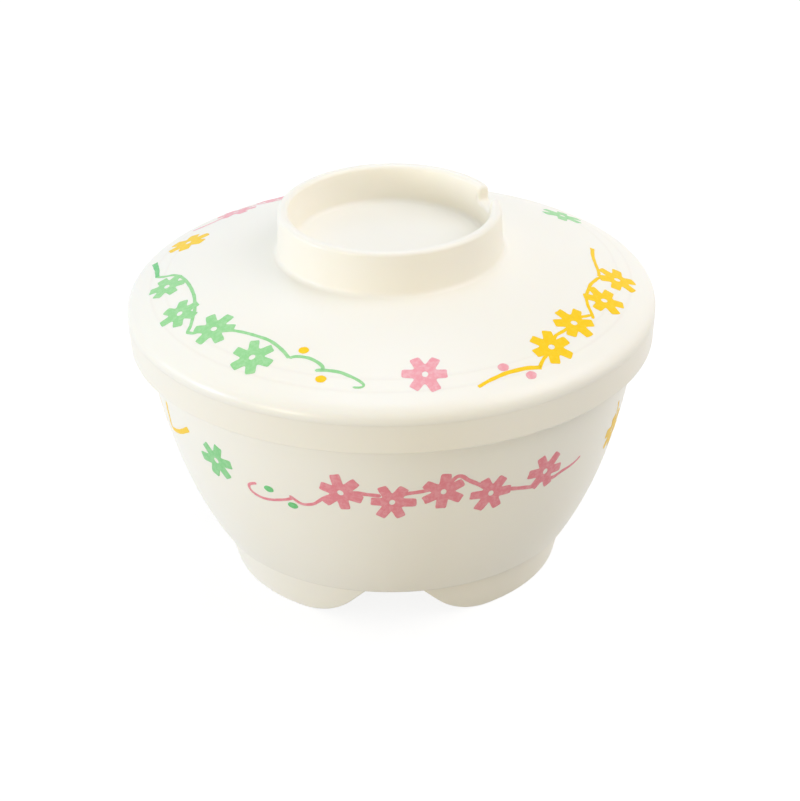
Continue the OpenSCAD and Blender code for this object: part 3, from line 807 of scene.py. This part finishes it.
# The lid's marks, with each garland's flowers first
LID_LINE, BOWL_LINE = 0.95, 0.95
for angle, value, turn_by, reach in ((-84.9, 59.2, 17, 5.3), (-68.3, 58.9, 31, 5.55), (-53.8, 56.2, 36, 5.75),
                                     (-36.6, 59.0, 58, 5.75), (126.5, 59.0, 20, 5.75)):
    lid_green.flower(angle, value, turn_by, reach)
for angle, value, turn_by in ((42.2, 59.7, 0), (54.6, 57.0, 26), (70.8, 58.4, 57), (84.5, 59.8, 0)):
    lid_yellow.flower(angle, value, turn_by)
lid_yellow.flower(-111.9, 58.95, 10, 5.75, 1.6, 3.5)
for angle, value, turn_by in ((7.8, 59.0, 54), (-135.2, 60.6, 12), (-148.6, 60.6, 40), (-164.5, 57.3, 25),
                              (-180.0, 59.3, 3)):
    lid_pink.flower(angle, value, turn_by)

lid_leaf.stroke([(-103.2, 65.2), (-97.9, 63.1), (-93.0, 62.1)], 1.45, (1.1, 0.8), blunt=True)
lid_green.stroke([(-93.0, 62.2), (-91.4, 59.8), (-90.3, 57.5), (-87.6, 55.5), (-83.4, 54.1), (-78.5, 53.4),
                  (-73.3, 53.5), (-69.2, 54.4), (-65.7, 55.7), (-63.0, 57.4), (-60.6, 59.2), (-59.3, 60.9)],
                 LID_LINE)
lid_green.stroke([(-59.6, 61.0), (-58.2, 60.5), (-57.2, 59.9), (-56.6, 58.7), (-55.2, 57.4)], LID_LINE)
lid_green.stroke([(-49.8, 54.6), (-48.0, 53.9), (-45.5, 53.3), (-42.8, 52.9), (-39.7, 52.7), (-36.6, 52.7),
                  (-33.9, 53.2), (-31.4, 54.1), (-29.3, 55.1), (-27.2, 56.5)], LID_LINE)
lid_green.stroke([(-27.2, 56.5), (-26.3, 55.8), (-25.0, 55.4), (-22.4, 55.3), (-19.8, 56.0), (-17.8, 57.2),
                  (-17.2, 58.4)], LID_LINE)
lid_green.stroke([(-19.2, 58.7), (-16.7, 58.3), (-13.3, 58.4), (-10.5, 59.3), (-8.1, 60.5), (-6.7, 61.7),
                  (-7.1, 62.4), (-8.3, 62.6), (-9.2, 62.5)], LID_LINE, (1.1, 0.6))
for place in ((-24.6, 53.2), (-17.0, 61.0)):
    lid_yellow.dot(*place, 2.8, 2.3)

lid_yellow.stroke([(100.6, 54.9), (95.5, 54.0), (91.2, 54.0), (87.1, 54.5), (84.8, 54.9), (82.3, 55.0)],
                  LID_LINE, (1.3, 1.0), blunt=True)
lid_yellow.stroke([(85.0, 58.8), (83.0, 56.9), (81.4, 55.1), (79.0, 54.3), (75.7, 53.6), (72.4, 53.7),
                   (69.4, 54.0), (66.9, 54.8), (64.5, 56.1), (63.0, 57.4), (61.4, 58.7), (60.6, 59.2)],
                  LID_LINE)
lid_yellow.stroke([(61.6, 58.2), (59.6, 57.4), (58.3, 56.9), (54.6, 57.0), (49.7, 57.3), (47.7, 57.3),
                   (45.6, 57.6), (42.3, 59.7), (38.8, 61.4), (37.7, 61.9), (36.2, 62.9), (35.0, 63.9)],
                  LID_LINE)
lid_yellow.stroke([(35.6, 63.8), (34.2, 63.3), (32.1, 62.7), (29.4, 62.5), (26.8, 62.5), (24.0, 63.0),
                   (21.7, 63.6), (19.1, 64.6)], 1.2, (1.1, 0.75), blunt=True)
for place in ((27.0, 60.7), (32.1, 64.9)):
    lid_pink.dot(*place, 3.0, 2.45)

lid_pink.stroke([(-122.6, 64.4), (-123.6, 63.4), (-125.3, 61.9), (-128.6, 60.8), (-132.4, 60.6)], LID_LINE,
                (1.2, 1.0))
lid_pink.stroke([(-137.4, 60.9), (-139.8, 60.8), (-141.6, 60.2), (-143.0, 58.0), (-145.6, 55.8),
                 (-149.4, 54.2), (-153.9, 53.4), (-158.2, 53.9), (-161.6, 55.2), (-164.5, 57.3)], LID_LINE)
lid_pink.stroke([(-164.5, 57.3), (-168.6, 55.8), (-173.0, 54.3), (-178.1, 53.8), (-183.0, 54.4),
                 (-187.4, 56.0), (-190.2, 58.2)], LID_LINE)
lid_pink.stroke([(-190.2, 58.2), (-194.0, 58.2), (-198.4, 59.1), (-202.6, 60.9), (-206.0, 63.4)], LID_LINE)
for place in ((-195.4, 61.4), (-192.6, 55.4)):
    lid_green.dot(*place, 2.8, 2.3)

# The bowl has the same garland three times, in three inks, with a single flower before each. The yellow one's
# last line is drawn on its own, as the photograph shows its end at the left.
BOWL_PETALS = (5.75, 1.4, 2.95, 0.82)
GARLAND_FLOWERS = ((-12.7, 48.5, 41), (-0.7, 46.0, 56), (11.3, 48.4, 26), (23.2, 45.2, 54), (38.3, 46.8, 52))
GARLAND_LINES = (
    ((-34.7, 46.1), (-36.3, 45.4), (-37.3, 44.5), (-37.1, 43.1), (-35.8, 42.1), (-33.8, 41.6), (-31.4, 41.8),
     (-29.0, 42.5), (-26.6, 43.4), (-24.6, 44.5)),
    ((-25.8, 44.9), (-24.7, 44.1), (-23.3, 43.1), (-21.9, 42.9), (-19.7, 43.6), (-18.2, 44.9), (-16.3, 46.6),
     (-12.7, 48.5)),
    ((-12.7, 48.5), (-9.3, 48.9), (-6.6, 48.5), (-3.2, 48.1)),
    ((0.7, 48.1), (2.6, 48.7), (5.8, 49.1), (8.5, 49.6)),
    ((11.8, 49.6), (13.0, 51.4), (14.4, 52.8), (15.7, 52.5), (17.1, 51.1), (19.9, 48.9), (22.3, 46.8)),
    ((23.2, 45.2), (25.5, 46.0), (29.0, 44.8), (32.2, 43.9), (35.5, 43.1), (37.0, 43.8), (38.8, 44.3)),
    ((38.9, 44.0), (41.7, 43.4), (44.2, 44.0), (47.3, 44.3), (49.7, 44.9), (51.1, 45.7)))
GARLAND_WIDTHS = (0.85, 0.9, 1.15, 1.15, 1.2, 1.2, 1.0)
GARLAND_ENDS = ((1, 1),) * 6 + ((1.3, 0.6),)
for ink_print, around in ((bowl_rose, 0), (bowl_green, 120), (bowl_yellow, -120)):
    for angle, value, turn_by in GARLAND_FLOWERS:
        ink_print.flower(angle + around, value, turn_by, *BOWL_PETALS)
    for places, width, ends in zip(GARLAND_LINES, GARLAND_WIDTHS, GARLAND_ENDS):
        if ink_print is bowl_yellow and places is GARLAND_LINES[-1]:
            break
        ink_print.stroke([(angle + around, value) for angle, value in places], width, ends)
    for angle, value in ((-31.3, 45.4), (-25.3, 41.7)):
        bowl_leaf.dot(angle + around, value, 2.8, 2.1)
bowl_green.flower(-47.1, 48.3, 9, *BOWL_PETALS)
bowl_yellow.flower(69.7, 43.8, 47, *BOWL_PETALS)
bowl_rose.flower(-167.1, 48.0, 30, *BOWL_PETALS)
bowl_yellow.stroke([(-67.6, 56.1), (-68.5, 53.1), (-68.9, 50.4), (-69.5, 48.0), (-68.1, 47.4), (-62.4, 49.7),
                    (-56.7, 53.4)], 1.25, (0.8, 1.3), blunt=True)
bowl_yellow.stroke([(68.6, 53.2), (69.6, 51.0), (70.2, 48.6)], BOWL_LINE)

for item in (lid_green, lid_yellow, lid_pink, lid_leaf, bowl_rose, bowl_green, bowl_leaf, bowl_yellow):
    item.make()

# Camera at the photograph's angle

YAW, PITCH, ROLL = 0.00255, 0.48471, -0.01762
CAMERA_PLACE, LENS, SENSOR = (0, -0.71914, 0.42103), 135.0, 36.0
ahead = np.array([math.sin(YAW) * math.cos(PITCH), math.cos(YAW) * math.cos(PITCH), -math.sin(PITCH)])
level = np.array([math.cos(YAW), -math.sin(YAW), 0.0])
upright = np.cross(level, ahead)
right = math.cos(ROLL) * level + math.sin(ROLL) * upright
up = -math.sin(ROLL) * level + math.cos(ROLL) * upright
camera = add_object("camera", bpy.data.cameras.new("camera"))
camera.data.lens, camera.data.sensor_width = LENS, SENSOR
camera.data.clip_start, camera.data.clip_end = 0.05, 20
axes = Matrix(np.column_stack([right, up, -ahead]).tolist()).to_4x4()
axes.translation = CAMERA_PLACE
camera.matrix_world = Matrix.Rotation(VIEW_TURN, 4, "Z") @ axes
bpy.context.scene.camera = camera

# Floor, light and world

FLOOR_HALF = 4.0
FLOOR_LIT_TONE, FLOOR_SEEN_TONE, FLOOR_GLOW = (0.55, 0.545, 0.525, 1), (0.2, 0.2, 0.195, 1), 0.87
AMBIENT, AMBIENT_STRENGTH, WHITE_STRENGTH = (0.985, 0.965, 0.88, 1), 0.535, 1.0
COOL, WARM, WHITE = (0.52, 0.67, 1.0), (1.0, 0.9, 0.74), (0.96, 0.92, 1.0)


def seen(tree):
    """1 for what the camera and the gloss see, and 0 for the light on the object."""
    path = tree.nodes.new("ShaderNodeLightPath")
    most = tree.nodes.new("ShaderNodeMath")
    most.operation = "MAXIMUM"
    tree.links.new(path.outputs["Is Camera Ray"], most.inputs[0])
    tree.links.new(path.outputs["Is Glossy Ray"], most.inputs[1])
    return most.outputs[0]


def floor_material():
    """A pale floor. To the camera and the gloss it glows nearly white, and it keeps the object's shadow."""
    material = bpy.data.materials.new("floor_white")
    material.use_nodes = True
    tree = material.node_tree
    tree.nodes.clear()
    tone, glow, both, diffuse, emission, out = (tree.nodes.new("ShaderNode" + kind) for kind in (
        "Mix", "Math", "AddShader", "BsdfDiffuse", "Emission", "OutputMaterial"))
    tone.data_type = "RGBA"
    tone.inputs[6].default_value, tone.inputs[7].default_value = FLOOR_LIT_TONE, FLOOR_SEEN_TONE
    glow.operation = "MULTIPLY"
    glow.inputs[1].default_value = FLOOR_GLOW
    share = seen(tree)
    for a, b in ((share, tone.inputs[0]), (share, glow.inputs[0]), (tone.outputs[2], diffuse.inputs["Color"]),
                 (glow.outputs[0], emission.inputs["Strength"]), (diffuse.outputs[0], both.inputs[0]),
                 (emission.outputs[0], both.inputs[1]), (both.outputs[0], out.inputs["Surface"])):
        tree.links.new(a, b)
    return material


def lamp(name, place, target, size, energy, colour):
    data = bpy.data.lights.new(name, "AREA")
    data.shape = "DISK"
    data.size, data.energy, data.color = size, energy, colour
    z = np.array(place, float) - np.array(target, float)
    z /= np.linalg.norm(z)
    x = np.cross((0, 0, 1), z)
    x /= np.linalg.norm(x)
    turn_to = Matrix(np.column_stack([x, np.cross(z, x), z]).tolist()).to_4x4()
    turn_to.translation = place
    add_object(name, data).matrix_world = turn_to


floor_mesh = bpy.data.meshes.new("floor")
floor_mesh.from_pydata([(x * FLOOR_HALF, y * FLOOR_HALF, 0) for x, y in ((-1, -1), (1, -1), (1, 1), (-1, 1))],
                       [], [(0, 1, 2, 3)])
floor_mesh.materials.append(floor_material())
add_object("floor", floor_mesh)

lamp("above", (0.02, 0.3, 2.0), (0, 0, 0.08), 1.2, 10.5, COOL)
lamp("left", (-2.0, -0.4, 0.3), (0, 0, 0.05), 0.5, 12.9, COOL)
lamp("left_back", (-2.0, 0.4, 0.25), (0, 0, 0.05), 0.5, 3.0, COOL)
lamp("back", (-0.2, 1.5, 1.3), (0, 0, 0.08), 0.8, 2.0, COOL)
lamp("left_front", (-1.4, -1.5, 0.3), (0, 0, 0.05), 0.5, 11.6, WARM)
lamp("right", (2.0, 0.1, 0.3), (0, 0, 0.05), 0.5, 2.0, WARM)
lamp("right_above", (1.3, -0.1, 1.5), (0, 0, 0.08), 1.7, 14.8, WHITE)

world = bpy.data.worlds.new("studio")
bpy.context.scene.world = world
world.use_nodes = True
tree = world.node_tree
lit, white, mixer = (tree.nodes["Background"], tree.nodes.new("ShaderNodeBackground"),
                     tree.nodes.new("ShaderNodeMixShader"))
lit.inputs["Color"].default_value, lit.inputs["Strength"].default_value = AMBIENT, AMBIENT_STRENGTH
white.inputs["Color"].default_value, white.inputs["Strength"].default_value = (1, 1, 1, 1), WHITE_STRENGTH
for a, b in ((seen(tree), mixer.inputs["Fac"]), (lit.outputs[0], mixer.inputs[1]),
             (white.outputs[0], mixer.inputs[2]),
             (mixer.outputs[0], tree.nodes["World Output"].inputs["Surface"])):
    tree.links.new(a, b)

bpy.context.scene.view_settings.view_transform = "Standard"
